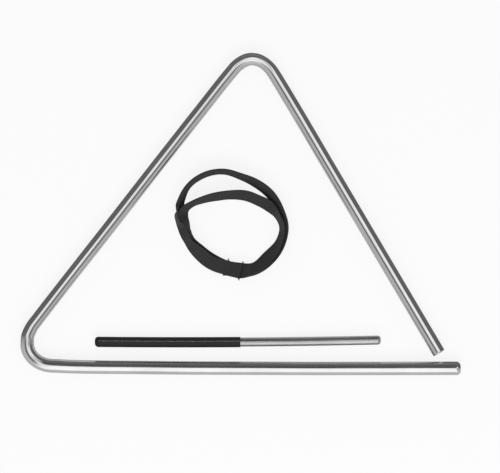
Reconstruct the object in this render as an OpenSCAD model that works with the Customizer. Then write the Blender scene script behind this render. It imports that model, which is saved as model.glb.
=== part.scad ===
// Percussion triangle with its beater and its hanging strap, laid flat.
// Millimetres. +Z is up and z = 0 is the surface that everything lies on.
// The base bar runs along +X and the origin is under the middle of the triangle's outline.

/* [Triangle bar] */
// Diameter of the round steel bar
bar_d = 9; // [8:0.1:9.6]
// From the sharp corner that the base and the left limb would make to the base's free end
base_run = 313.5; // [312:0.5:322]
// From that corner to the sharp corner that both limbs would make at the top
left_run = 281.8; // [278:0.2:284]
// Gap at the open corner, between the right limb's cut end and the base bar
corner_gap = 4; // [2:0.1:16]
// Angle between the base and the left limb
base_angle = 52.1; // [51.6:0.1:54]
// Angle between the two limbs
top_angle = 68.6; // [67:0.1:69.5]
// Inside radius of the bend between the base and the left limb
base_bend_r = 13.2; // [10:0.1:16]
// Inside radius of the top bend
top_bend_r = 11.3; // [9:0.1:15]
// How far the bar swells along its bends, over its radius
bend_swell = 0.08; // [0.08:0.01:0.2]
// Rounded edge of the base's free end
base_end_r = 1.8; // [0.4:0.1:2.6]
// Rounded edge of the right limb's cut end
limb_end_r = 0.7; // [0.3:0.1:1.6]

/* [Beater] */
// Diameter of the striking rod
rod_d = 6; // [5:0.1:7]
// Length of the beater over its grip and rod
beater_len = 194.5; // [180:0.5:200]
// Rounded edge of the rod's tip
rod_tip_r = 0.6; // [0.3:0.1:1.2]
// Length of the grip sleeve
grip_len = 99; // [80:0.5:110]
// Wall of the grip sleeve
grip_wall = 0.43; // [0.4:0.01:0.8]
// Thickness of the grip's closed end
grip_end_wall = 1.2; // [0.8:0.1:2]
// Rounded edge of the grip's closed end
grip_end_r = 1.5; // [0.6:0.1:1.8]
// Clearance between the rod and the sleeve
grip_fit = 0.02; // [0.02:0.01:0.05]
// How far left of the middle of the circle that fits inside the triangle the beater's middle lies
beater_left = 2.4; // [0:0.1:8]
// How far the beater's middle lies from the base bar's axis
beater_y = 17.9; // [15:0.1:22]
// How far the beater is turned from the base bar
beater_turn = 0.5; // [0:0.1:1]

/* [Strap] */
// Width of the woven elastic band
strap_w = 10; // [9:0.1:10.4]
// Thickness of the band
strap_t = 1.2; // [1:0.05:1.4]
// Bevel along the band's four woven edges
strap_edge = 0.3; // [0.2:0.05:0.4]
// Radius of the loop that the band's two turns are laid round
loop_r = 34; // [33.5:0.1:36]
// Space between band layers that are stacked flat
layer_gap = 0.45; // [0.42:0.01:0.6]
// How far left of the middle of the circle that fits inside the triangle the loop's middle lies
loop_left = 6.5; // [4:0.1:9]
// How far above it the loop's middle lies
loop_up = 16.5; // [12:0.1:20]

/* [Hidden] */
$fn = 96;

steel_colour = [0.74, 0.75, 0.76];
rod_colour = [0.66, 0.67, 0.68];
grip_colour = [0.09, 0.09, 0.09];
strap_colour = [0.19, 0.19, 0.2];

// The bar's centreline, with the sharp base corner at zero and the base along +X
bar_r = bar_d / 2;
base_mid_r = base_bend_r + bar_r;
top_mid_r = top_bend_r + bar_r;
base_tangent = base_mid_r / tan(base_angle / 2);
top_tangent = top_mid_r / tan(top_angle / 2);
left_straight = left_run - base_tangent - top_tangent;
right_dir = base_angle + 180 + top_angle;
bend_lap = 0.3;
top_corner = left_run * [cos(base_angle), sin(base_angle)];
right_run = (top_corner.y - bar_r * (1 + cos(right_dir)) - corner_gap) / -sin(right_dir);
base_bend_mid = base_mid_r / sin(base_angle / 2) * [cos(base_angle / 2), sin(base_angle / 2)];
top_half_dir = right_dir - top_angle / 2;
top_bend_mid = top_corner + top_mid_r / sin(top_angle / 2) * [cos(top_half_dir), sin(top_half_dir)];

// The middle of the circle that fits inside the three axes, by which the loose pieces are laid
right_angle = 180 - base_angle - top_angle;
fit_r = left_run * sin(top_angle) / sin(right_angle) / (1 / tan(base_angle / 2) + 1 / tan(right_angle / 2));
fit_mid = [fit_r / tan(base_angle / 2), fit_r];

// The outline's extents, which set the origin
low_x = base_bend_mid.x - base_mid_r - bar_r - bend_swell;
high_x = base_run;
low_y = -bar_r;
high_y = top_bend_mid.y + top_mid_r + bar_r + bend_swell;
mid = [(low_x + high_x) / 2, (low_y + high_y) / 2];

// The beater's diameters
grip_bore_d = rod_d + 2 * grip_fit;
grip_d = grip_bore_d + 2 * grip_wall;

// The band is one strip of two turns with lapped ends. Each row holds an angle round the loop,
// the distance from the loop's middle as a share of its radius, the tilt of the band about its own
// run, and the height of its lowest edge in stacked layers. Tilt 0 lies flat, -90 stands on edge
// and -180 lies flat on its other face, so a turn carries half a twist.
turn_shares = [
    // First turn, from the start inside the lap: flat, leaning out, on edge, leaning in
    [-99, 0.842, 0, 1.15],
    [-92, 0.862, 0, 1.25],
    [-86, 0.886, -3, 1.35],
    [-80, 0.917, -8, 1.5],
    [-72, 0.933, -22, 1.5],
    [-64, 0.953, -36, 1.3],
    [-40, 0.955, -47, 0.7],
    [-16, 1.006, -68, 0.3],
    [0, 1, -70, 0.1],
    [12, 0.945, -65, 0],
    [28, 0.82, -54, 0],
    [44, 0.735, -52, 0],
    [64, 0.667, -53, 0],
    [96, 0.621, -60, 0],
    [120, 0.671, -63, 0],
    [140, 0.8, -70, 0],
    [152, 0.921, -74, 0],
    [160, 1.004, -64, 0],
    [168, 0.984, -61, 0],
    [176, 0.913, -76, 0.08],
    [184, 0.868, -90, 0.08],
    [192, 0.867, -105, 0],
    [200, 0.871, -121, 0],
    [216, 0.836, -139, 0],
    [240, 0.805, -158, 0],
    // Second turn: under the lap, then outside the first turn
    [262, 0.84, -180, 0],
    [280, 0.89, -188, 0],
    [288, 0.928, -202, 0],
    [296, 0.965, -216, 0],
    [320, 0.997, -227, 0],
    [344, 1.057, -248, 0],
    [360, 1.055, -250, 0],
    [376, 1.02, -245, 0],
    [400, 0.995, -239, 0],
    [424, 0.98, -243, 0],
    [440, 1.004, -251, 0],
    [460, 1.1, -254, 0],
    [480, 1.165, -255, 0],
    [500, 1.18, -260, 0],
    [512, 1.143, -250, 0],
    [520, 1.127, -252, 0],
    [528, 1.125, -270, 0],
    [536, 1.064, -282, 0.06],
    [544, 0.996, -295, 0.2],
    [552, 0.955, -296, 0.58],
    [560, 0.914, -302, 0.99],
    [568, 0.878, -309, 1.26],
    [576, 0.854, -318, 1.29],
    [600, 0.82, -338, 1.15],
    // The end on top of the lap
    [622, 0.842, -360, 2.4],
    [633, 0.872, -364, 2.6],
    [641, 0.915, -368, 2.9]
];
// Width of a cut, frayed end as a share of the band's width
end_splay_share = 1.12;
// Slant of the visible cut, as a share of the distance from the band's middle
end_slant_share = 0.4;
// Rings along the band, and finer places at which its gap to itself is measured
ring_count = 124;
probe_step = 2;
probe_reach = 6;
probe_shares = [-1, -0.75, -0.5, -0.25, 0, 0.25, 0.5, 0.75, 1];

// The band's section: a wide rectangle with bevelled edges, along its width and its thickness
half_w = strap_w / 2;
half_t = strap_t / 2;
section = [
    [half_w, half_t - strap_edge],
    [half_w - strap_edge, half_t],
    [strap_edge - half_w, half_t],
    [-half_w, half_t - strap_edge],
    [-half_w, strap_edge - half_t],
    [strap_edge - half_w, -half_t],
    [half_w - strap_edge, -half_t],
    [half_w, strap_edge - half_t]
];

// A smooth curve through the rows: the slope at a row is the mean of its two sides,
// each weighted by the other's length
row_last = len(turn_shares) - 1;
function chord(k, c) = (turn_shares[k + 1][c] - turn_shares[k][c]) / gap_at(k);
function gap_at(k) = turn_shares[k + 1][0] - turn_shares[k][0];
function slope(k, c) =
    k == 0 ? chord(0, c)
    : k == row_last ? chord(k - 1, c)
    : (chord(k - 1, c) * gap_at(k) + chord(k, c) * gap_at(k - 1)) / (gap_at(k) + gap_at(k - 1));
row_slopes = [for (k = [0:row_last]) [for (c = [0:3]) slope(k, c)]];
function row_of(u, k = 0) = k >= row_last - 1 || u < turn_shares[k + 1][0] ? k : row_of(u, k + 1);
function blend(k, c, t) =
    turn_shares[k][c] * (2 * t * t * t - 3 * t * t + 1)
    + gap_at(k) * row_slopes[k][c] * (t * t * t - 2 * t * t + t)
    + turn_shares[k + 1][c] * (3 * t * t - 2 * t * t * t)
    + gap_at(k) * row_slopes[k + 1][c] * (t * t * t - t * t);
function station(u) =
    let (k = row_of(u), t = (u - turn_shares[k][0]) / gap_at(k))
    [blend(k, 1, t), blend(k, 2, t), max(0, blend(k, 3, t))];

// A place on the band: its middle, its run, its width direction and its face direction
first_u = turn_shares[0][0];
last_u = turn_shares[row_last][0];
half_step = 0.5;
function plan(u) = station(u)[0] * loop_r * [cos(u), sin(u)];
function unit(v) = v / norm(v);
function rise(tilt) = max([for (p = section) p.x * sin(tilt) + p.y * cos(tilt)]);
function place(u) =
    let (s = station(u), c = plan(u))
    let (run = unit(plan(min(last_u, u + half_step)) - plan(max(first_u, u - half_step))))
    let (out = [run.y, -run.x, 0], tilt = s[1])
    [
        [c.x, c.y, rise(tilt) + s[2] * (strap_t + layer_gap)],
        [run.x, run.y, 0],
        [-cos(tilt) * out.x, -cos(tilt) * out.y, sin(tilt)],
        [sin(tilt) * out.x, sin(tilt) * out.y, cos(tilt)]
    ];

// The rings, with the first and the last spread where the band was cut
function ring_u(i) = first_u + (last_u - first_u) * i / (ring_count - 1);
function is_end(i) = i == 0 || i == ring_count - 1;
function ring(i) =
    let (f = place(ring_u(i)), w = is_end(i) ? end_splay_share : 1)
    let (slant = i == ring_count - 1 ? end_slant_share : 0)
    [for (p = section) f[0] + f[2] * p.x * w + f[3] * p.y + f[1] * p.x * slant];
band_points = [for (i = [0:ring_count - 1]) each ring(i)];
sides = len(section);
function at(i, j) = i * sides + j % sides;
band_faces = concat(
    [for (i = [0:ring_count - 2], j = [0:sides - 1]) each [
        [at(i, j), at(i, j + 1), at(i + 1, j)],
        [at(i, j + 1), at(i + 1, j + 1), at(i + 1, j)]
    ]],
    [for (j = [1:sides - 2]) [at(0, 0), at(0, j + 1), at(0, j)]],
    [for (j = [1:sides - 2]) [at(ring_count - 1, 0), at(ring_count - 1, j), at(ring_count - 1, j + 1)]]
);

// The least gap between the two turns: points across both faces of one turn
// against the section of the other, at the places that face them
function off_section(p, f, reach) =
    let (v = p - f[0])
    let (a = abs(v * f[2]) - half_w, b = abs(v * f[3]) - half_t)
    abs(v * f[1]) > reach ? loop_r
    : norm([max(a, 0), max(b, 0)]) + min(max(a, b), 0);
function across(f) =
    [for (s = probe_shares, h = [-1, 1]) f[0] + f[2] * s * half_w + f[3] * h * half_t];
function least(a, b, reach) =
    min([for (p = across(a)) off_section(p, b, reach), for (p = across(b)) off_section(p, a, reach)]);
function band_gap() =
    let (n = floor((last_u - first_u) / probe_step), turn = floor(360 / probe_step))
    let (f = [for (i = [0:n]) place(first_u + i * probe_step)])
    min([for (i = [0:n - turn + probe_reach], j = [max(0, i + turn - probe_reach):min(n, i + turn + probe_reach)])
        i > n ? loop_r : least(f[i], f[j], norm(f[min(n, i + 1)][0] - f[max(0, i - 1)][0]) * 0.3)]);

// A round bar along +Z with rounded edges, from half of its section
module corner_cut(r) {
    difference() {
        square([r, r]);
        translate([0, r]) circle(r);
    }
}
module half_section(r, length, low_r, high_r) {
    difference() {
        square([r, length]);
        if (low_r > 0) translate([r - low_r, 0]) corner_cut(low_r);
        if (high_r > 0) translate([r - high_r, length]) mirror([0, 1]) corner_cut(high_r);
    }
}
module rounded_bar(r, length, low_r, high_r) {
    rotate_extrude() half_section(r, length, low_r, high_r);
}

// The bar is drawn piece after piece. Each piece starts at zero, where the bar runs along -X,
// and the next one starts where it ends. A straight reaches a little way into each bend.
module past_bend(mid_r, turn) {
    translate([0, mid_r, 0]) rotate([0, 0, -turn]) translate([0, -mid_r, 0]) children();
}
module bend(mid_r, turn) {
    translate([0, mid_r, 0]) rotate([0, 0, -90])
        rotate_extrude(angle = -turn) translate([mid_r, 0]) circle(bar_r + bend_swell);
}
module left_limb() {
    rotate([0, -90, 0]) translate([0, 0, -bend_lap])
        cylinder(h = left_straight + 2 * bend_lap, r = bar_r);
}
module right_limb() {
    rotate([0, -90, 0]) translate([0, 0, -bend_lap])
        rounded_bar(bar_r, right_run - top_tangent + bend_lap, 0, limb_end_r);
}
module base_bar() {
    rotate([0, 90, 0]) translate([0, 0, -bend_lap])
        rounded_bar(bar_r, base_run - base_tangent + bend_lap, 0, base_end_r);
}

module triangle_bar() {
    color(steel_colour) translate([base_tangent - mid.x, -mid.y, bar_r + bend_swell]) {
        base_bar();
        bend(base_mid_r, 180 - base_angle);
        past_bend(base_mid_r, 180 - base_angle) {
            left_limb();
            translate([-left_straight, 0, 0]) {
                bend(top_mid_r, 180 - top_angle);
                past_bend(top_mid_r, 180 - top_angle) right_limb();
            }
        }
    }
}

// Where the beater lies: its axis along +X from its closed end, its grip on the surface
module on_beater_axis() {
    translate([fit_mid.x - beater_left - mid.x, beater_y - mid.y, grip_d / 2])
        rotate([0, 0, beater_turn]) rotate([0, 90, 0]) translate([0, 0, -beater_len / 2]) children();
}

module beater_rod() {
    color(rod_colour) on_beater_axis() translate([0, 0, grip_end_wall + grip_fit])
        rounded_bar(rod_d / 2, beater_len - grip_end_wall - grip_fit, rod_tip_r, rod_tip_r);
}

module beater_grip() {
    color(grip_colour) on_beater_axis() difference() {
        rounded_bar(grip_d / 2, grip_len, grip_end_r, 0);
        translate([0, 0, grip_end_wall]) cylinder(h = grip_len, r = grip_bore_d / 2);
    }
}

module strap_band() {
    echo(strap_least_gap = band_gap());
    color(strap_colour) translate([fit_mid.x - loop_left - mid.x, fit_mid.y + loop_up - mid.y, 0])
        polyhedron(points = band_points, faces = band_faces, convexity = 6);
}

triangle_bar();
beater_rod();
beater_grip();
strap_band();
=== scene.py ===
import bpy
import numpy as np
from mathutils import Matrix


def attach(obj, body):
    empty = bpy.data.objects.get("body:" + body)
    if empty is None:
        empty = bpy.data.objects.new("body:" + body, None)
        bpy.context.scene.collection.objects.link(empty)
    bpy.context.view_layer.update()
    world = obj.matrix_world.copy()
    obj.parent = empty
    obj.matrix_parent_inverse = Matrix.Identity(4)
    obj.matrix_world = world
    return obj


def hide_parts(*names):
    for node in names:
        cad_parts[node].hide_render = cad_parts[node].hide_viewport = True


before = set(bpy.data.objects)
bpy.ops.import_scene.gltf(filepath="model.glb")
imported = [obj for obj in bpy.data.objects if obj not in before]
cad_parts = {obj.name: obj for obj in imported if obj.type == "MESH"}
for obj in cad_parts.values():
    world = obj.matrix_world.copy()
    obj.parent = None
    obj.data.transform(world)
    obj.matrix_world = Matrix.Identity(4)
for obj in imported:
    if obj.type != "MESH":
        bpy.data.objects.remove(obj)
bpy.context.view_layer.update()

# The bent bar: one length of 9 mm round steel, bent twice round a former, cut and rounded at both
# ends and then polished to a bright finish with fine drawing lines left along it. It lies flat, and
# the corner at the lower right stays open so that the bar can ring.
bar_r = 0.0045
base_run, left_run, corner_gap = 0.3135, 0.2818, 0.004
base_angle, top_angle = np.radians([52.1, 68.6])
base_mid_r, top_mid_r = 0.0132 + bar_r, 0.0113 + bar_r
bend_swell = 0.00008
base_end_round, limb_end_round = 0.0028, 0.0008
bar_rings, bar_sides = 640, 96

base_tangent = base_mid_r / np.tan(base_angle / 2)
top_tangent = top_mid_r / np.tan(top_angle / 2)
right_heading = base_angle + np.pi + top_angle
top_corner = left_run * np.exp(1j * base_angle)
right_drop = top_corner.imag - bar_r * (1 + np.cos(right_heading)) - corner_gap
right_run = right_drop / -np.sin(right_heading)
base_bend_mid = base_mid_r / np.sin(base_angle / 2) * np.exp(0.5j * base_angle)
top_bend_mid = top_corner + top_mid_r / np.sin(top_angle / 2) * np.exp(1j * (right_heading - top_angle / 2))
outline_mid = complex(
    (base_bend_mid.real - base_mid_r - bar_r - bend_swell + base_run) / 2,
    (top_bend_mid.imag + top_mid_r + bend_swell) / 2,
)
# Each leg of the bar from the base's free end on: its length, and its bend's radius or zero
bar_legs = [
    (base_run - base_tangent, 0),
    (base_mid_r * (np.pi - base_angle), base_mid_r),
    (left_run - base_tangent - top_tangent, 0),
    (top_mid_r * (np.pi - top_angle), top_mid_r),
    (right_run - top_tangent, 0),
]
bar_len = sum(leg[0] for leg in bar_legs)
leg_ends = np.cumsum([leg[0] for leg in bar_legs])

# Where the bender left the bar, by run in millimetres: how far its middle drifts outwards, in
# millimetres, and its width as a share of the round bar's
bent_by_hand = np.array([
    [0, -0.5, 1.02], [14, -0.46, 1.02], [55, -0.24, 1.015], [97, -0.04, 1.01], [139, -0.07, 1.012],
    [180, -0.08, 1.014], [222, -0.33, 1.015], [250, -0.5, 1.02], [266, -0.78, 1.03], [280, -1.24, 1.04],
    [287, -0.78, 1.045], [294, -0.06, 1.045], [299, 0.2, 1.04], [302, 0.12, 1.03], [305, -0.12, 1.015],
    [309, -0.02, 1.005], [313, -0.2, 1], [317, 0, 0.99], [324, 0.1, 0.985], [400, 0.24, 0.985],
    [460, 0.42, 0.985], [500, 0.38, 0.985], [534, 0.2, 0.985], [539, 0.06, 0.985], [544, -0.12, 0.98],
    [548, 0.06, 0.965], [552, 0.2, 0.95], [557, -0.1, 0.945], [561, -0.45, 0.955], [565, -0.66, 0.965],
    [573, -0.34, 0.975], [584, -0.18, 0.98], [650, -0.1, 0.98], [720, -0.02, 0.98], [800, 0.05, 0.98],
])
# Faint ripples that the former leaves in both bends, and the length over which they fade
ripple_depth, ripple_wave, bend_fade = 0.00003, 0.0021, 0.003
# The top bend's two flats: how far each leans inwards and how far out it stands. They start a
# little inside the bend, fade along the bar, and meet its round in a soft knee
die_flats = [(np.radians(37), 0.945 * bar_r), (np.radians(2), 0.985 * bar_r)]
die_inset, die_fade, die_knee = 0.001, 0.005, 0.00004


def through_rows(rows, at):
    """A smooth curve through the rows: between two rows a cubic, whose slope at each row is the mean of
    the slopes on its two sides, each weighted by the other's length."""
    first, rows = rows[:, 0], rows[:, 1:]
    gap = np.diff(first)[:, None]
    chord = np.diff(rows, axis=0) / gap
    inside = (chord[:-1] * gap[1:] + chord[1:] * gap[:-1]) / (gap[1:] + gap[:-1])
    slope = np.concatenate([chord[:1], inside, chord[-1:]])
    k = np.clip(np.searchsorted(first, at, "right") - 1, 0, len(first) - 2)
    t, g = ((at - first[k]) / (first[k + 1] - first[k]))[:, None], gap[k]
    low = rows[k] * (2 * t**3 - 3 * t**2 + 1) + g * slope[k] * (t**3 - 2 * t**2 + t)
    return low + rows[k + 1] * (3 * t**2 - 2 * t**3) + g * slope[k + 1] * (t**3 - t**2)


def bar_centreline(runs):
    """The place x + iy and the heading at each run. A straight adds run·e^(i·heading), and a bend to the
    right of radius R adds iR(e^(i(heading - run/R)) - e^(i·heading)), each for its own part of the run."""
    place, heading, before = complex(base_run, 0) - outline_mid, np.pi, 0.0
    turned = np.full(runs.shape, heading)
    for length, radius in bar_legs:
        run = np.clip(runs - before, 0, length)
        if radius:
            place = place + 1j * radius * (np.exp(1j * (heading - run / radius)) - np.exp(1j * heading))
            turned = turned - run / radius
            heading -= length / radius
        else:
            place = place + run * np.exp(1j * heading)
        before += length
    return place, turned


def end_to_end(length, radius, start_round, end_round, steps):
    """Stations from pole to pole along a round bar: on each end face the radius grows from nothing,
    over each rounded edge it follows a quarter circle, and between them it stays."""
    q = np.linspace(0, np.pi / 2, 10)
    face = np.array([0, 0.35, 0.7, 0.92])
    start_s, start_r = start_round * (1 - np.cos(q)), radius - start_round * (1 - np.sin(q))
    end_s, end_r = end_round * (1 - np.cos(q)), radius - end_round * (1 - np.sin(q))
    middle = np.linspace(start_round, length - end_round, steps)[1:-1]
    runs = [face * 0, start_s, middle, length - end_s[::-1], face * 0 + length]
    radii = [face * start_r[0], start_r, middle * 0 + radius, end_r[::-1], face[::-1] * end_r[0]]
    return np.concatenate(runs), np.concatenate(radii)


def round_grain(runs, radii, a):
    """Each point's place on the straight, true round bar: run, r·cos a, r·sin a."""
    return np.stack([runs[:, None] + a * 0, radii[:, None] * np.cos(a), radii[:, None] * np.sin(a)], -1)


def closed_skin(name, grid, grain):
    """A mesh over one grid of rings, or over many alike, whose first and last rings are poles: quads
    between the rings, a fan of triangles at each pole, and each point's unbent place as attribute grain."""
    rings, sides = grid.shape[-3:-1]

    def points_of(field):
        """The rings between the poles, then the first pole and the last."""
        field = field.reshape(-1, rings, sides, 3)
        inner = field[:, 1:-1].reshape(len(field), -1, 3)
        return np.concatenate([inner, field[:, 0, :1], field[:, -1, :1]], 1)

    points, unbent = points_of(grid), points_of(grain)
    first = (np.arange(len(points)) * points.shape[1])[:, None, None]
    i, j = np.meshgrid(np.arange(rings - 3), np.arange(sides), indexing="ij")
    a, b = i * sides + j, i * sides + (j + 1) % sides
    quads = (np.stack([a, a + sides, b + sides, b], -1).reshape(-1, 4) + first).reshape(-1, 4)
    k = np.arange(sides)
    last, pole = (rings - 3) * sides, (rings - 2) * sides
    start_fan = np.stack([k * 0 + pole, k, (k + 1) % sides], -1)
    end_fan = np.stack([k * 0 + pole + 1, last + (k + 1) % sides, last + k], -1)
    fans = (np.concatenate([start_fan, end_fan]) + first).reshape(-1, 3)
    mesh = bpy.data.meshes.new(name)
    mesh.from_pydata(points.reshape(-1, 3).tolist(), [], quads.tolist() + fans.tolist())
    mesh.attributes.new("grain", "FLOAT_VECTOR", "POINT").data.foreach_set("vector", unbent.ravel())
    mesh.shade_smooth()
    skin = bpy.data.objects.new(name, mesh)
    bpy.context.scene.collection.objects.link(skin)
    return skin


def pressed_flat(across, high, share, lean, reach):
    """A round section pressed against a flat die that leans inwards by an angle: a point that stands
    past reach along the die's normal is moved back to it, with a soft knee."""
    normal = -np.sin(lean) * across + np.cos(lean) * high
    past = share * die_knee * np.logaddexp(0, (normal - reach) / die_knee)
    return across + np.sin(lean) * past, high - np.cos(lean) * past


def between(runs, start, end, fade):
    """One from start to end and zero elsewhere, where each end fades as (1 + tanh(distance/fade))/2."""
    return (0.5 + 0.5 * np.tanh((runs - start) / fade)) * (0.5 + 0.5 * np.tanh((end - runs) / fade))


def bar_surface(runs, radii, sides):
    """A tube: centre + outwards·r·cos a + up·r·sin a, where the centre drifts and the section widens as
    the bender left them. At the top bend the die has pressed two slight flats along its inner side."""
    place, heading = bar_centreline(runs)
    drift, width = through_rows(bent_by_hand, runs * 1000).T
    bent = between(runs, *leg_ends[0:2], bend_fade) + between(runs, *leg_ends[2:4], bend_fade)
    pressed = between(runs, leg_ends[2] + die_inset, leg_ends[3] - die_inset, die_fade)[:, None]
    ripple = 1 + ripple_depth / bar_r * bent * np.cos(runs / ripple_wave)
    a = np.linspace(np.pi, -np.pi, sides, endpoint=False)[None, :]
    across = (radii * width)[:, None] * np.cos(a)
    high = (radii * (2 - width) * ripple)[:, None] * np.sin(a)
    for lean, reach in die_flats:
        across, high = pressed_flat(across, high, pressed, lean, reach)
    outward = 1j * np.exp(1j * heading)
    flat = place[:, None] + outward[:, None] * (across + 0.001 * drift[:, None])
    grid = np.stack([flat.real, flat.imag, np.maximum(high + bar_r + bend_swell, 0)], -1)
    return grid, round_grain(runs, radii, a)


def node(tree, kind, settings=None, sockets=None):
    """One node of a material, with its settings and with its sockets linked or set."""
    made = tree.nodes.new(kind)
    for key, value in (settings or {}).items():
        setattr(made, key, value)
    for key, value in (sockets or {}).items():
        if isinstance(value, bpy.types.NodeSocket):
            tree.links.new(value, made.inputs[key])
        else:
            made.inputs[key].default_value = value
    return made


def maths(tree, operation, *values):
    """A Math node's output."""
    return node(tree, "ShaderNodeMath", {"operation": operation}, dict(enumerate(values))).outputs[0]


def vector_maths(tree, operation, *vectors, output="Vector"):
    """A Vector Math node's output."""
    made = node(tree, "ShaderNodeVectorMath", {"operation": operation}, dict(enumerate(vectors)))
    return made.outputs[output]


def noise(tree, place, scale, detail, roughness=0.5):
    """A Noise Texture's value."""
    sockets = {"Vector": place, "Scale": scale, "Detail": detail, "Roughness": roughness}
    return node(tree, "ShaderNodeTexNoise", None, sockets).outputs["Fac"]


def ranged(tree, value, low, high, to_low=0.0, to_high=1.0, steps="LINEAR"):
    """A value moved from the range low to high into another, past whose ends it doesn't go."""
    sockets = {"Value": value, "From Min": low, "From Max": high, "To Min": to_low, "To Max": to_high}
    return node(tree, "ShaderNodeMapRange", {"interpolation_type": steps}, sockets).outputs["Result"]


def blended(tree, share, first, second, kind="RGBA", blend="MIX"):
    """Two colours or values, from the first alone at share 0 to the second blended over it at 1."""
    sockets = {"Factor": share, "A": first, "B": second}
    return node(tree, "ShaderNodeMix", {"data_type": kind, "blend_type": blend}, sockets).outputs["Result"]


def raised(tree, height, depth):
    """The normal of a surface raised by height, where a height of one stands for the depth."""
    return node(tree, "ShaderNodeBump", None, {"Height": height, "Distance": depth}).outputs["Normal"]


def begin_material(name):
    """A new material, its node tree, its shader and the unbent place of the point that it shades."""
    material = bpy.data.materials.new(name)
    material.use_nodes = True
    tree = material.node_tree
    place = node(tree, "ShaderNodeAttribute", {"attribute_name": "grain"}).outputs["Vector"]
    return material, tree, tree.nodes["Principled BSDF"], place


def new_group(name, inputs, outputs):
    """A shader node group with named sockets; each input holds its kind and its default."""
    tree = bpy.data.node_groups.new(name, "ShaderNodeTree")
    for key, (kind, value) in inputs.items():
        socket = tree.interface.new_socket(key, in_out="INPUT", socket_type=kind)
        if value is not None:
            socket.default_value = value
    for key, kind in outputs.items():
        tree.interface.new_socket(key, in_out="OUTPUT", socket_type=kind)
    return tree, tree.nodes.new("NodeGroupInput"), tree.nodes.new("NodeGroupOutput")


# Drawn steel: hair lines that run along the bar, and soft clouds of handling over them
drawn_steel, given, result = new_group(
    "drawn_steel",
    {
        "Place": ("NodeSocketVector", None),
        "Line Width": ("NodeSocketFloat", 0.0003),
        "Line Length": ("NodeSocketFloat", 0.03),
        "Cloud Size": ("NodeSocketFloat", 0.02),
    },
    {"Lines": "NodeSocketFloat", "Clouds": "NodeSocketFloat"},
)
across = maths(drawn_steel, "DIVIDE", 1.0, given.outputs["Line Width"])
along = maths(drawn_steel, "DIVIDE", 1.0, given.outputs["Line Length"])
finer = maths(drawn_steel, "DIVIDE", 1.0, given.outputs["Cloud Size"])
stretch = node(drawn_steel, "ShaderNodeCombineXYZ", None, {0: along, 1: across, 2: across}).outputs[0]
drawn = vector_maths(drawn_steel, "MULTIPLY", given.outputs["Place"], stretch)
lines = noise(drawn_steel, drawn, 1.0, 4.0, 0.65)
drawn_steel.links.new(lines, result.inputs["Lines"])
drawn_steel.links.new(noise(drawn_steel, given.outputs["Place"], finer, 3.0), result.inputs["Clouds"])
# The middle part of a noise's values, over which a material's tone and its roughness spread
tone_span, polish_span = (0.35, 0.65), (0.3, 0.7)


def steel(name, dark, light, smooth, rough, line_width, line_length, depth, streaks):
    """Bare metal between two greys and two roughnesses, with its drawn lines as a slight bump; streaks
    is the share of the lines in its tone, against the clouds."""
    material, tree, shader, place = begin_material(name)
    shader.inputs["Metallic"].default_value = 1.0
    sockets = {"Place": place, "Line Width": line_width, "Line Length": line_length}
    marks = node(tree, "ShaderNodeGroup", {"node_tree": drawn_steel}, sockets).outputs
    mask = ranged(tree, blended(tree, streaks, marks["Clouds"], marks["Lines"], "FLOAT"), *tone_span)
    polish = ranged(tree, marks["Lines"], *polish_span, smooth, rough)
    tree.links.new(blended(tree, mask, dark, light), shader.inputs["Base Color"])
    tree.links.new(polish, shader.inputs["Roughness"])
    tree.links.new(raised(tree, marks["Lines"], depth), shader.inputs["Normal"])
    return material


runs, radii = end_to_end(bar_len, bar_r, base_end_round, limb_end_round, bar_rings)
polished_bar = closed_skin("polished_bar", *bar_surface(runs, radii, bar_sides))
polished_steel = steel(
    "polished_steel",
    dark=(0.67, 0.67, 0.675, 1),
    light=(0.82, 0.82, 0.825, 1),
    smooth=0.07,
    rough=0.17,
    line_width=0.0006,
    line_length=0.06,
    depth=0.000005,
    streaks=0.6,
)
polished_bar.data.materials.append(polished_steel)
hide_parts("triangle_bar")
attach(polished_bar, "triangle")

# The beater's rod: a nearly straight piece of 6 mm steel rod with well rounded ends, left with a
# dull drawn finish. Half of it runs inside the sleeve.
rod_r, beater_len, rod_tip_round, rod_clearance = 0.003, 0.1945, 0.0021, 0.00002
sleeve_r, sleeve_end_wall = 0.00345, 0.0012
beater_left, beater_y, beater_turn = 0.0024, 0.0179, np.radians(0.5)
beater_bow, bow_middle, bow_level, beater_oval = 0.00078, 0.47, 0.13, 1.03
short_wave, long_wave = 0.0043, 0.0117
rod_rings, rod_sides = 240, 64

right_angle = np.pi - base_angle - top_angle
corner_cots = 1 / np.tan(base_angle / 2) + 1 / np.tan(right_angle / 2)
fit_r = left_run * np.sin(top_angle) / np.sin(right_angle) / corner_cots
fit_mid = complex(fit_r / np.tan(base_angle / 2), fit_r) - outline_mid
beater_mid = complex(fit_mid.real - beater_left, beater_y - outline_mid.imag)


def beater_surface(runs, radii, sides, ripple=0.0):
    """A tube on the beater's axis: start + along·run + across·(bow + oval·r·cos a) + up·r·sin a. The bow
    is a shallow parabola, as use bends a rod, and the sleeve ripples with two slow waves along it."""
    a = np.linspace(0, 2 * np.pi, sides, endpoint=False)[None, :]
    waves = np.sin(runs / short_wave)[:, None] * np.cos(a * 2 + 1)
    waves = waves + np.sin(runs / long_wave + 2)[:, None] * np.sin(a)
    full = radii[:, None] + ripple * waves * (radii[:, None] > rod_r * 1.1)
    bow = beater_bow * ((runs / beater_len - bow_middle) ** 2 * 4 - bow_level)
    aside = bow[:, None] + beater_oval * full * np.cos(a)
    flat = beater_mid + np.exp(1j * beater_turn) * (runs[:, None] - beater_len / 2 + 1j * aside)
    grid = np.stack([flat.real, flat.imag, sleeve_r + full * np.sin(a)], -1)
    return grid[::-1], round_grain(runs, radii, a)[::-1]


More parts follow.
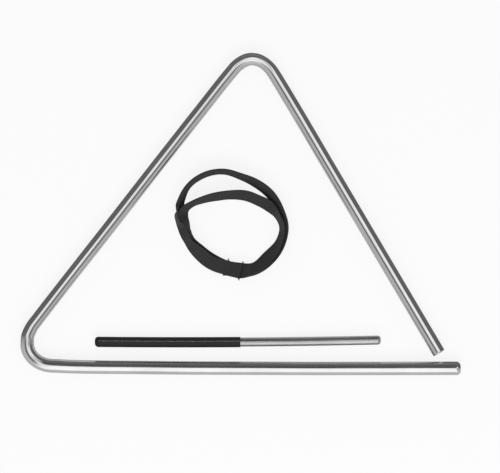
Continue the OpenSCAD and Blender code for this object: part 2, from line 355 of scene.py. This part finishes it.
rod_start = sleeve_end_wall + rod_clearance
runs, radii = end_to_end(beater_len - rod_start, rod_r, rod_tip_round, rod_tip_round, rod_rings)
drawn_rod = closed_skin("drawn_rod", *beater_surface(runs + rod_start, radii, rod_sides))
rod_steel = steel(
    "rod_steel",
    dark=(0.42, 0.42, 0.425, 1),
    light=(0.72, 0.72, 0.725, 1),
    smooth=0.22,
    rough=0.38,
    line_width=0.0009,
    line_length=0.07,
    depth=0.000012,
    streaks=0.8,
)
drawn_rod.data.materials.append(rod_steel)
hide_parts("beater_rod")
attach(drawn_rod, "beater")

# The grip: a black vinyl sleeve, dip-moulded with a closed, rounded end and pushed over half of
# the rod. Its open end is trimmed square, and its skin is satin with a fine pebble.
sleeve_len, sleeve_bore_r = 0.099, rod_r + rod_clearance
sleeve_round, lip_round, lip_bevel = 0.0024, 0.00014, 0.0001
bore_stops, bore_floor_bevel, bore_floor_rise = (0.08, 0.05, 0.02), 0.0003, 0.0004
sleeve_ripple, sleeve_rings, sleeve_sides = 0.000005, 420, 72

# The outside stops at its open end's rim, and the bore runs back from there to the closed end
outside = end_to_end(sleeve_len, sleeve_r, sleeve_round, lip_round, sleeve_rings)
bore_s = [sleeve_len, sleeve_len - lip_bevel, *bore_stops]
bore_s += [sleeve_end_wall + bore_floor_rise, sleeve_end_wall, sleeve_end_wall]
bore_r = [sleeve_bore_r + lip_bevel] + [sleeve_bore_r] * 5 + [sleeve_bore_r - bore_floor_bevel, 0]
runs, radii = (np.concatenate([outer[:-4], bore]) for outer, bore in zip(outside, (bore_s, bore_r)))
grip_sleeve = closed_skin("grip_sleeve", *beater_surface(runs, radii, sleeve_sides, sleeve_ripple))

satin_vinyl, tree, shader, place = begin_material("satin_vinyl")
pebble, handled = noise(tree, place, scale=2600.0, detail=3.0), noise(tree, place, scale=90.0, detail=4.0)
skin_tone = blended(tree, handled, (0.0105, 0.0105, 0.011, 1), (0.0155, 0.0155, 0.016, 1))
skin_polish = ranged(tree, handled, *polish_span, to_low=0.25, to_high=0.19)
tree.links.new(skin_tone, shader.inputs["Base Color"])
tree.links.new(skin_polish, shader.inputs["Roughness"])
tree.links.new(raised(tree, pebble, depth=0.00002), shader.inputs["Normal"])
shader.inputs["Specular IOR Level"].default_value = 0.13
grip_sleeve.data.materials.append(satin_vinyl)
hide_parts("beater_grip")
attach(grip_sleeve, "beater")

# The hanging strap: flat elastic, 10 mm wide, woven from charcoal yarn over rubber cords. One
# length is laid round twice with half a twist a turn, and both cut ends are lapped and sewn.
strap_w, strap_t, layer_gap, strap_edge = 0.01, 0.0012, 0.00045, 0.0003
loop_r, loop_left, loop_up = 0.034, 0.0065, 0.0165
# The cut ends: how far they splay and over what length, and how far the last one slants
end_splay, splay_reach, end_slant, slant_reach = 1.15, 0.0016, 0.08, 0.0015
# The crossing yarn: its pitch, how far it draws in the woven edges, where in the half width these
# begin, and how far it lifts the faces
pick_pitch, pick_dent, edge_from, pick_lift = 0.0013, 0.008, 0.9, 0.02
# The frayed yarn away from the corners: its least and greatest length and radius, how deep it roots
# and how low it may hang
fibre_len, fibre_r, fibre_root, fibre_lowest = (0.0004, 0.0009), (0.00004, 0.00007), 0.0004, 0.00002
# Where it stands, in shares of the half section: loose yarn, tufted yarn, and either over the thickness
loose_x, tufted_x, fibre_y = 0.96, (0.86, 1), 0.8
# How much longer it is at a corner, how far it leans sideways, up or down, and how far it curls
corner_gain, loose_lean, tufted_lean, fibre_rise, fibre_curl = 0.7, 0.3, (0.8, 3), 0.18, 0.3
strap_rings, strap_cords, face_points = 1260, 10, 30
# Angle round the loop, distance from its middle as a share of its radius, tilt, and height in layers
turn_shares = np.array([
    [-99, 0.842, 0, 1.15], [-92, 0.862, 0, 1.25], [-86, 0.886, -3, 1.35], [-80, 0.917, -8, 1.5],
    [-72, 0.933, -22, 1.5], [-64, 0.953, -36, 1.3], [-40, 0.945, -40, 0.7], [-16, 0.995, -65, 0.3],
    [0, 1, -70, 0.1], [12, 0.935, -68, 0], [28, 0.84, -44, 0], [44, 0.735, -46, 0],
    [64, 0.67, -47, 0], [96, 0.625, -55, 0], [120, 0.675, -57, 0], [140, 0.8, -65, 0],
    [152, 0.92, -69, 0], [160, 0.995, -61, 0], [168, 1.005, -47, 0], [176, 0.91, -71, 0.1],
    [184, 0.855, -91, 0.1], [192, 0.865, -108, 0], [200, 0.87, -124, 0], [216, 0.82, -144, 0],
    [240, 0.8, -161, 0], [262, 0.84, -180, 0], [280, 0.89, -188, 0], [288, 0.928, -202, 0],
    [296, 0.965, -216, 0], [320, 1.005, -226, 0], [344, 1.06, -246, 0], [360, 1.065, -248, 0],
    [376, 1.02, -243, 0], [400, 0.99, -234, 0], [424, 0.98, -238, 0], [440, 1.005, -246, 0],
    [460, 1.105, -251, 0], [480, 1.165, -251, 0], [500, 1.18, -252, 0], [512, 1.145, -245, 0],
    [520, 1.125, -242, 0], [528, 1.135, -280, 0], [536, 1.08, -286, 0.05], [544, 0.985, -310, 0.2],
    [552, 0.95, -308, 0.6], [560, 0.925, -303, 1], [568, 0.895, -313, 1.25], [576, 0.865, -326, 1.3],
    [600, 0.845, -339, 1.15], [622, 0.842, -360, 2.4], [633, 0.872, -364, 2.6], [641, 0.915, -368, 2.9],
])
first_end, last_end = turn_shares[0, 0], turn_shares[-1, 0]
strap_mid = fit_mid + complex(-loop_left, loop_up)


def strap_plan(u):
    """The band's middle seen from above: the loop's middle + radius·e^(iu)."""
    return strap_mid + through_rows(turn_shares, u)[:, 0] * loop_r * np.exp(1j * np.radians(u))


def strap_place(u):
    """The band's middle, its run, the direction of its width and that of its face at angle u, with its
    lowest edge held at the row's height."""
    share = through_rows(turn_shares, u)
    tilt, lift = np.radians(share[:, 1]), np.maximum(share[:, 2], 0)
    step = strap_plan(np.minimum(u + 0.5, last_end)) - strap_plan(np.maximum(u - 0.5, first_end))
    run = step / abs(step)
    out = -1j * run
    steep, level = abs(np.sin(tilt)), abs(np.cos(tilt))
    at_edge = steep * strap_w / 2 + level * (strap_t / 2 - strap_edge)
    at_face = steep * (strap_w / 2 - strap_edge) + level * strap_t / 2
    high = np.maximum(at_edge, at_face) + lift * (strap_t + layer_gap)
    mid = strap_plan(u)
    middle = np.stack([mid.real, mid.imag, high], -1)
    along = np.stack([run.real, run.imag, 0 * tilt], -1)
    width = np.stack([-np.cos(tilt) * out.real, -np.cos(tilt) * out.imag, np.sin(tilt)], -1)
    face = np.stack([np.sin(tilt) * out.real, np.sin(tilt) * out.imag, np.cos(tilt)], -1)
    return middle, along, width, face


def strap_section(cords, points):
    """The band's section, as width and thickness shares: flat faces that swell over each rubber cord
    like a row of low arches, joined by two half-round woven edges."""
    flat, edge_high, hollow, arch_rise = 0.94, 0.88, 0.855, 0.13
    x = np.linspace(-flat, flat, points)
    arch = hollow + arch_rise * abs(np.cos(np.pi * (x / (2 * flat) + 0.5) * cords + np.pi / 2))
    q = np.linspace(-np.pi / 2, np.pi / 2, 6)[1:-1]
    edge_x, edge_y = flat + (1 - flat) * np.cos(q), edge_high * np.sin(q)
    y = np.concatenate([-arch, edge_y, arch[::-1], edge_y[::-1]])
    return np.concatenate([x, edge_x, x[::-1], -edge_x]), y


def strap_surface(rings, cords, points):
    """Middle + width·x + face·y, in rings set evenly along the band's run. The picks of the weave draw
    in the edges and lift the faces in turn, the cut ends are splayed, and the last is slanted."""
    fine = np.linspace(first_end, last_end, 6000)
    run = np.concatenate([[0], np.cumsum(np.linalg.norm(np.diff(strap_place(fine)[0], axis=0), axis=1))])
    s = np.linspace(0, run[-1], rings)
    middle, along, width, face = (v[:, None, :] for v in strap_place(np.interp(s, run, fine)))
    x, y = strap_section(cords, points)
    splay = 1 + (end_splay - 1) * np.exp(-((np.minimum(s, run[-1] - s) / splay_reach) ** 2))
    wave = np.cos(2 * np.pi * s / pick_pitch)[:, None]
    wide = strap_w / 2 * x * (1 - pick_dent * (1 - wave) * (abs(x) > edge_from)) * splay[:, None]
    thick = strap_t / 2 * y * (1 + pick_lift * wave)
    slant = end_slant * wide * np.exp(-(run[-1] - s) / slant_reach)[:, None]
    grid = middle + width * wide[..., None] + face * thick[..., None] + along * slant[..., None]
    grain = np.stack(np.broadcast_arrays(s[:, None], strap_w / 2 * x, strap_t / 2 * y), -1)

    def closed(field):
        """The rings with a pole at each end, turned round so that the faces point outwards."""
        start, end = (np.repeat(ring.mean(1, keepdims=True), len(x), 1) for ring in (field[:1], field[-1:]))
        return np.concatenate([start, field, end])[::-1]

    return closed(grid), closed(grain)


def sewn_rows(angles, stitches, length, apart, thread_r, rise):
    """Rows of stitches across the lap's upper face, set apart by a share of their length. Each is a tube
    on a half ellipse out of the face: middle + width·(x - half·cos q) + face·(t/2 + rise·(2·sin q - 1)).
    It thins towards both ends, where it closes."""
    middle, along, width, face = (v[:, None, None, None, :] for v in strap_place(np.array(angles, float)))
    x = ((np.arange(stitches) - (stitches - 1) / 2) * length * apart)[:, None, None, None]
    q = np.linspace(0, np.pi, 11)[:, None, None]
    a = np.linspace(0, 2 * np.pi, 8, endpoint=False)[:, None]
    thin = thread_r * np.sqrt(np.clip(1.02 - np.cos(q) ** 8, 0, 1)) * (abs(np.cos(q)) < 0.999)
    along_x, along_y = length / 2 * np.sin(q), 2 * rise * np.cos(q)
    normal = (face * along_x - width * along_y) / (np.hypot(along_x, along_y) + 1e-9)
    path = middle + width * (x - length / 2 * np.cos(q)) + face * (strap_t / 2 + rise * (2 * np.sin(q) - 1))
    grid = path + thin * (np.cos(a) * along + np.sin(a) * normal)
    straight = (length * q[..., 0], thread_r * np.cos(a[:, 0]), thread_r * np.sin(a[:, 0]))
    return grid, np.broadcast_to(np.stack(np.broadcast_arrays(*straight), -1), grid.shape)


def frayed_end(angle, way, loose, tufted, corners, seed):
    """Cut yarn that sticks out of an end: root + heading·length·t + curl·t², a tapering tube for each.
    Loose ones stand anywhere in the cut, and tufted ones at its corners, where they lean sideways."""
    draw = np.random.default_rng(seed)
    middle, along, width, face = (v[0] for v in strap_place(np.array([angle], float)))
    count = loose + tufted
    anywhere = draw.uniform(-loose_x, loose_x, loose)
    x = np.concatenate([anywhere, np.resize(corners, tufted) * draw.uniform(*tufted_x, tufted)])
    y = draw.uniform(-fibre_y, fibre_y, count)
    corner = np.clip((abs(x) - 0.84) / 0.1, 0, 1)
    length = draw.uniform(*fibre_len, count) * (1 + corner_gain * corner)
    lean = draw.normal(0, loose_lean, count) * (1 - corner)
    lean += np.sign(x) * corner * draw.uniform(*tufted_lean, count)
    heading = way * along + width * lean[:, None] + face * draw.normal(0, fibre_rise, (count, 1))
    heading /= np.linalg.norm(heading, axis=1)[:, None]
    curl = draw.normal(0, fibre_curl, (count, 3)) * length[:, None]
    thick = draw.uniform(*fibre_r, count) * (1 + corner)
    wide = strap_w / 2 * end_splay * x
    inwards = (end_slant if way > 0 else 0) * wide - way * fibre_root
    aside, high = width * (0.97 * wide)[:, None], face * (strap_t / 2 * y)[:, None]
    root = middle + aside + high + along * inwards[:, None]
    t = np.array([0, 0, 0.35, 0.7, 1, 1])[:, None, None]
    taper = np.array([0, 1, 0.9, 0.7, 0.4, 0])[:, None, None] * thick[:, None, None, None]
    a = np.linspace(0, 2 * np.pi, 5, endpoint=False)[:, None]
    path = root[:, None, None] + (heading * length[:, None])[:, None, None] * t + curl[:, None, None] * t**2
    grid = path + taper * (np.cos(a) * width - way * np.sin(a) * face)
    grid[..., 2] = np.maximum(grid[..., 2], fibre_lowest)
    return grid, grid.copy()


elastic_strap = closed_skin("elastic_strap", *strap_surface(strap_rings, strap_cords, face_points))
sewing = sewn_rows([629, 636], stitches=5, length=0.0016, apart=1.08, thread_r=0.00014, rise=0.00012)
strap_stitches = closed_skin("strap_stitches", *sewing)
ends = [
    frayed_end(first_end, way=-1, loose=70, tufted=40, corners=[1], seed=5),
    frayed_end(last_end, way=1, loose=80, tufted=90, corners=[-1, 1], seed=6),
]
strap_fibres = closed_skin("strap_fibres", *(np.concatenate(fields) for fields in zip(*ends)))

# Woven elastic: crossing rows of yarn whose picks ride over and under the cords, with a little fuzz. Its
# colour carries painted shade in the weave
yarn_pitch, cord_pitch, fuzz_share = 0.0011, 0.00094, 0.7
woven_elastic, tree, shader, place = begin_material("woven_elastic")
parts = node(tree, "ShaderNodeSeparateXYZ", None, {0: place}).outputs
pick_wave = maths(tree, "SINE", maths(tree, "MULTIPLY", parts["X"], 2 * np.pi / yarn_pitch))
cord_wave = maths(tree, "SINE", maths(tree, "MULTIPLY", parts["Y"], np.pi / cord_pitch))
yarn = ranged(tree, maths(tree, "MULTIPLY", pick_wave, cord_wave), -1.0, 1.0)
fuzz, worn = noise(tree, place, scale=3500.0, detail=4.0), noise(tree, place, scale=120.0, detail=3.0)
# Painted shade: the colour follows the weave's height, lighter where the yarn stands high and darker in the
# hollows between picks. The worn noise over it is real random wear
tone = blended(tree, yarn, (0.019, 0.019, 0.0195, 1), (0.042, 0.042, 0.043, 1))
weave_shade_and_wear = blended(tree, worn, tone, (0.72, 0.72, 0.73, 1), blend="MULTIPLY")
height = maths(tree, "MULTIPLY_ADD", fuzz, fuzz_share, yarn)
tree.links.new(weave_shade_and_wear, shader.inputs["Base Color"])
tree.links.new(raised(tree, height, depth=0.00012), shader.inputs["Normal"])
shader.inputs["Roughness"].default_value = 0.88
shader.inputs["Sheen Weight"].default_value = 0.12
shader.inputs["Sheen Roughness"].default_value = 0.4
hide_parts("strap_band")
for piece in (elastic_strap, strap_stitches, strap_fibres):
    piece.data.materials.append(woven_elastic)
    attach(piece, "strap")

# The floor: pale paper that keeps a faint shadow. Seen in the steel it is a lighter, glazed sheet
# beyond the two limbs, and plain paper elsewhere.
# Directions by their turn from +X: outwards from the two limbs, away from the viewer and towards them
left_side, right_side = base_angle + np.pi / 2, right_heading - 1.5 * np.pi
far_side, near_side = np.pi / 2, -np.pi / 2
floor_half, edge_fade, own_light = 9, 0.002, 0.87

floor_corners = [(x * floor_half, y * floor_half, 0) for x, y in ((-1, -1), (1, -1), (1, 1), (-1, 1))]
floor_mesh = bpy.data.meshes.new("floor")
floor_mesh.from_pydata(floor_corners, [], [(0, 1, 2, 3)])
floor = bpy.data.objects.new("floor", floor_mesh)
bpy.context.scene.collection.objects.link(floor)


def towards(tree, vector, turn):
    """How far a vector reaches in the floor's plane towards a turn from +X: x·cos turn + y·sin turn."""
    return vector_maths(tree, "DOT_PRODUCT", vector, (np.cos(turn), np.sin(turn), 0), output="Value")


def past_edge(tree, spot, turn, reach):
    """One where the spot lies farther than reach from the middle of the triangle's inner circle, towards
    a turn from +X, and zero nearer to it."""
    edge = (fit_mid * np.exp(-1j * turn)).real + reach
    return ranged(tree, towards(tree, spot, turn), edge - edge_fade, edge + edge_fade)


def mixed(tree, share, first, second):
    """Two shaders mixed by share."""
    return node(tree, "ShaderNodeMixShader", None, {0: share, 1: first, 2: second}).outputs[0]


paper = bpy.data.materials.new("paper")
paper.use_nodes = True
tree = paper.node_tree
tree.nodes.clear()
seen = node(tree, "ShaderNodeLightPath").outputs
spot = node(tree, "ShaderNodeTexCoord").outputs["Object"]
pale = node(tree, "ShaderNodeBsdfDiffuse", None, {"Color": (0.57, 0.57, 0.57, 1)}).outputs[0]
glaze_look = {"Color": (0.97, 0.97, 0.97, 1), "Roughness": 0.12}
glaze = node(tree, "ShaderNodeBsdfGlossy", None, glaze_look).outputs[0]
near = node(tree, "ShaderNodeBsdfDiffuse", None, {"Color": (0.9, 0.9, 0.9, 1)}).outputs[0]
white = node(tree, "ShaderNodeEmission", None, {"Color": (1, 1, 1, 1), "Strength": 0.985}).outputs[0]
beyond_left, beyond_right = past_edge(tree, spot, left_side, fit_r), past_edge(tree, spot, right_side, fit_r)
beyond = maths(tree, "MAXIMUM", beyond_left, beyond_right)
above = maths(tree, "MULTIPLY", beyond, past_edge(tree, spot, far_side, -fit_r))
glazed = mixed(tree, maths(tree, "MULTIPLY", seen["Is Glossy Ray"], above), pale, glaze)
both = mixed(tree, seen["Is Camera Ray"], glazed, mixed(tree, own_light, near, white))
node(tree, "ShaderNodeOutputMaterial", None, {"Surface": both})
floor_mesh.materials.append(paper)


def soft_lamp(name, width, depth, energy, place, turn):
    """A rectangular lamp that looks straight down until it is turned by its degrees."""
    lamp = bpy.data.objects.new(name, bpy.data.lights.new(name, "AREA"))
    lamp.data.shape, lamp.data.size, lamp.data.size_y = "RECTANGLE", width, depth
    lamp.data.energy = energy
    lamp.location, lamp.rotation_euler = place, tuple(np.radians(turn))
    bpy.context.scene.collection.objects.link(lamp)
    return lamp


# The lamps: one soft key from the near side, which the steel doesn't show, and a narrow strip for
# the grip alone, which draws the soft line along its back
key = soft_lamp("key", width=1.5, depth=0.9, energy=13.0, place=(0.1, -1.15, 1.15), turn=(45, 0, 5))
key.visible_glossy = False
strip = soft_lamp("strip", width=0.9, depth=0.06, energy=9.0, place=(-0.05, 0.36, 1.11), turn=(-22, 0, 0))
lit_alone = bpy.data.collections.new("lit_alone")
lit_alone.objects.link(grip_sleeve)
strip.light_linking.receiver_collection = lit_alone

# The studio: panels by the direction in which they stand, and the brightness at each angle from
# straight above; a positive angle lies on that side and a negative one lies opposite. Each panel
# fills a wedge round its direction and fades out towards its neighbours
panels = [
    (near_side, [
        (-90, 0.21), (-60, 0.125), (-30, 0.08), (-10, 0.07), (-5, 0.085), (-1, 0.7), (3, 1.3),
        (59, 1.3), (69, 0.66), (90, 0.6),
    ]),
    (left_side, [
        (-90, 0.62), (-66, 0.56), (-52, 0.5), (-40, 0.36), (-32, 0.13), (-22, 0.11), (-15, 0.4),
        (-8, 0.85), (-2, 1.1), (22, 1.1), (32, 0.2), (40, 0.12), (90, 0.15),
    ]),
    (right_side, [
        (-90, 0.62), (-51, 0.54), (-39, 0.38), (-31, 0.1), (-21, 0.08), (-13, 0.5), (-5, 1.05),
        (25, 1.2), (35, 0.6), (43, 0.15), (53, 0.1), (90, 0.16),
    ]),
]
full_wedge, no_wedge, spill, spill_weight = 0.15, 0.7, 0.02, 0.06
ramp_white, plain_level = 2.0, 0.68


def brightness(tree, angle, stops):
    """The brightness at an angle from straight above, linear between a panel's stops; the ramp holds
    each as a share of ramp_white."""
    share = ranged(tree, angle, -np.pi / 2, np.pi / 2)
    ramp = node(tree, "ShaderNodeValToRGB", None, {"Fac": share})
    points = ramp.color_ramp.elements
    for k, (degrees, level) in enumerate(stops):
        point = points[k] if k < 2 else points.new((degrees + 90) / 180)
        grey = level / ramp_white
        point.position, point.color = (degrees + 90) / 180, (grey, grey, grey, 1)
    return ramp.outputs["Color"]


world = bpy.data.worlds.new("studio")
bpy.context.scene.world = world
world.use_nodes = True
tree = world.node_tree
tree.nodes.clear()
gaze = node(tree, "ShaderNodeTexCoord").outputs["Generated"]
up = node(tree, "ShaderNodeSeparateXYZ", None, {0: gaze}).outputs["Z"]
level = vector_maths(tree, "LENGTH", vector_maths(tree, "MULTIPLY", gaze, (1, 1, 0)), output="Value")
total, weights = 0.0, 0.0
for side, stops in panels:
    wedge = maths(tree, "DIVIDE", maths(tree, "ABSOLUTE", towards(tree, gaze, side + np.pi / 2)), level)
    weight = ranged(tree, wedge, full_wedge, no_wedge, 1.0, 0.0, "SMOOTHSTEP")
    angle = maths(tree, "ARCTAN2", towards(tree, gaze, side), up)
    total = maths(tree, "ADD", maths(tree, "MULTIPLY", brightness(tree, angle, stops), weight), total)
    weights = maths(tree, "ADD", weight, weights)
lit = maths(tree, "MULTIPLY_ADD", total, ramp_white, spill)
studio = maths(tree, "DIVIDE", lit, maths(tree, "ADD", weights, spill_weight))
seen = node(tree, "ShaderNodeLightPath").outputs
plain, white, panelled = (
    node(tree, "ShaderNodeBackground", None, {"Color": (1, 1, 1, 1), "Strength": strength}).outputs[0]
    for strength in (plain_level, 1.0, studio)
)
metal = mixed(tree, seen["Is Glossy Ray"], plain, panelled)
node(tree, "ShaderNodeOutputWorld", None, {"Surface": mixed(tree, seen["Is Camera Ray"], metal, white)})
world.cycles.sampling_method = "NONE"

# The camera: a long lens that looks straight down from 4 m, turned a little as in the picture
camera = bpy.data.objects.new("camera", bpy.data.cameras.new("camera"))
camera.data.lens, camera.data.sensor_width = 423.5, 36.0
camera.data.clip_start, camera.data.clip_end = 0.1, 60
camera.location = (0.00612, -0.01547, 4.0045)
camera.rotation_euler = (0, 0, np.radians(0.2))
bpy.context.scene.collection.objects.link(camera)
bpy.context.scene.camera = camera
bpy.context.scene.view_settings.view_transform = "Standard"
